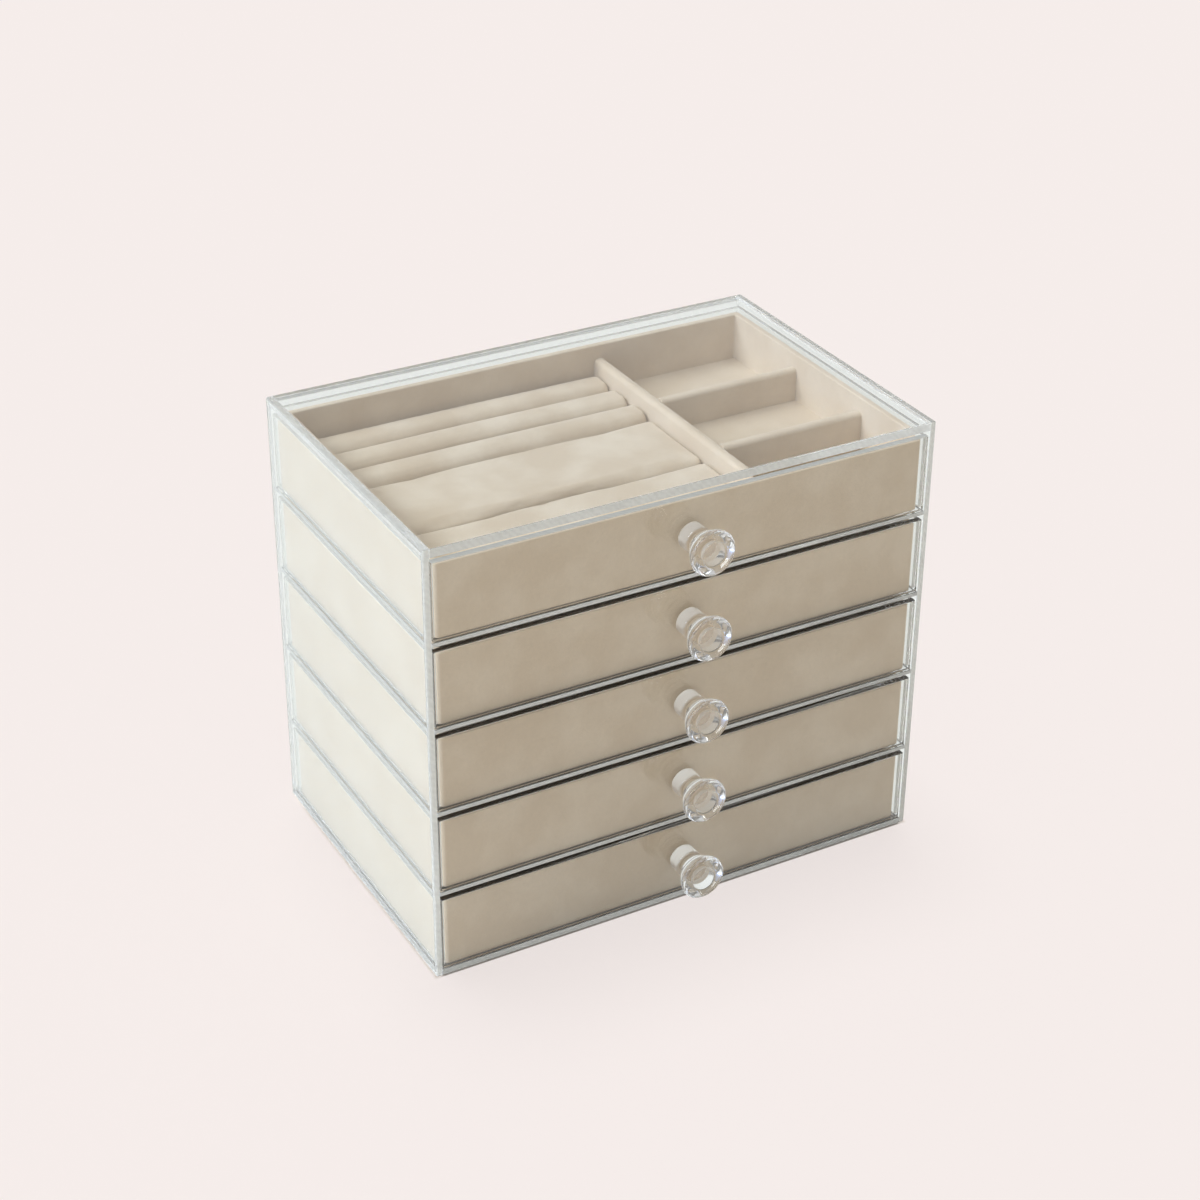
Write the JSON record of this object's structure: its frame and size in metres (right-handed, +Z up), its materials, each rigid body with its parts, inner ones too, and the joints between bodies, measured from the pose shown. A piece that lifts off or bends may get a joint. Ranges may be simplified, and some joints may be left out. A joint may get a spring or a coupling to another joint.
{
  "type": "jewelry drawer organizer",
  "caption": "Clear acrylic box of stacked sliding drawers with round knobs, each holding a velvet tray for rings and small jewellery.",
  "frame": {"origin": "centre of the case's footprint, on the underside that it stands on; the knobs reach further forward", "axes": "+X along the width, to the right seen from the front; +Y from the drawer fronts towards the back; +Z up"},
  "size_m": [0.24, 0.1746, 0.205],
  "materials": {
    "clear_sheet": "polished clear acrylic sheet",
    "clear_knob": "polished clear acrylic, turned",
    "velvet_board": "short-pile beige velvet over board",
    "velvet_padding": "short-pile beige velvet over foam"
  },
  "bodies": {
    "case": {"case_left_panel": "clear_sheet", "case_right_panel": "clear_sheet", "case_top_panel": "clear_sheet", "case_bottom_panel": "clear_sheet", "case_back_panel": "clear_sheet", "case_shelf_1": "clear_sheet", "case_shelf_2": "clear_sheet", "case_shelf_3": "clear_sheet", "case_shelf_4": "clear_sheet"},
    "drawer_1": {"drawer_1_front": "clear_sheet", "drawer_1_left_side": "clear_sheet", "drawer_1_right_side": "clear_sheet", "drawer_1_back": "clear_sheet", "drawer_1_base": "clear_sheet", "drawer_1_knob": "clear_knob", "drawer_1_liner_floor": "velvet_board", "drawer_1_liner_walls": "velvet_board", "drawer_1_dividers": "velvet_board", "drawer_1_ring_roll_1": "velvet_padding", "drawer_1_ring_roll_2": "velvet_padding", "drawer_1_ring_roll_3": "velvet_padding", "drawer_1_middle_pad": "velvet_padding", "drawer_1_front_pad": "velvet_padding"},
    "drawer_2": {"drawer_2_front": "clear_sheet", "drawer_2_left_side": "clear_sheet", "drawer_2_right_side": "clear_sheet", "drawer_2_back": "clear_sheet", "drawer_2_base": "clear_sheet", "drawer_2_knob": "clear_knob", "drawer_2_liner_floor": "velvet_board", "drawer_2_liner_walls": "velvet_board", "drawer_2_dividers": "velvet_board"},
    "drawer_3": {"drawer_3_front": "clear_sheet", "drawer_3_left_side": "clear_sheet", "drawer_3_right_side": "clear_sheet", "drawer_3_back": "clear_sheet", "drawer_3_base": "clear_sheet", "drawer_3_knob": "clear_knob", "drawer_3_liner_floor": "velvet_board", "drawer_3_liner_walls": "velvet_board", "drawer_3_dividers": "velvet_board"},
    "drawer_4": {"drawer_4_front": "clear_sheet", "drawer_4_left_side": "clear_sheet", "drawer_4_right_side": "clear_sheet", "drawer_4_back": "clear_sheet", "drawer_4_base": "clear_sheet", "drawer_4_knob": "clear_knob", "drawer_4_liner_floor": "velvet_board", "drawer_4_liner_walls": "velvet_board", "drawer_4_dividers": "velvet_board"},
    "drawer_5": {"drawer_5_front": "clear_sheet", "drawer_5_left_side": "clear_sheet", "drawer_5_right_side": "clear_sheet", "drawer_5_back": "clear_sheet", "drawer_5_base": "clear_sheet", "drawer_5_knob": "clear_knob", "drawer_5_liner_floor": "velvet_board", "drawer_5_liner_walls": "velvet_board", "drawer_5_dividers": "velvet_board"}
  },
  "joints": [
    {"name": "drawer_1_slide", "type": "slide", "parent": "case", "child": "drawer_1", "axis": [0, -1, 0], "range_m": [0, 0.12]},
    {"name": "drawer_2_slide", "type": "slide", "parent": "case", "child": "drawer_2", "axis": [0, -1, 0], "range_m": [0, 0.12]},
    {"name": "drawer_3_slide", "type": "slide", "parent": "case", "child": "drawer_3", "axis": [0, -1, 0], "range_m": [0, 0.12]},
    {"name": "drawer_4_slide", "type": "slide", "parent": "case", "child": "drawer_4", "axis": [0, -1, 0], "range_m": [0, 0.12]},
    {"name": "drawer_5_slide", "type": "slide", "parent": "case", "child": "drawer_5", "axis": [0, -1, 0], "range_m": [0, 0.12]}
  ]
}
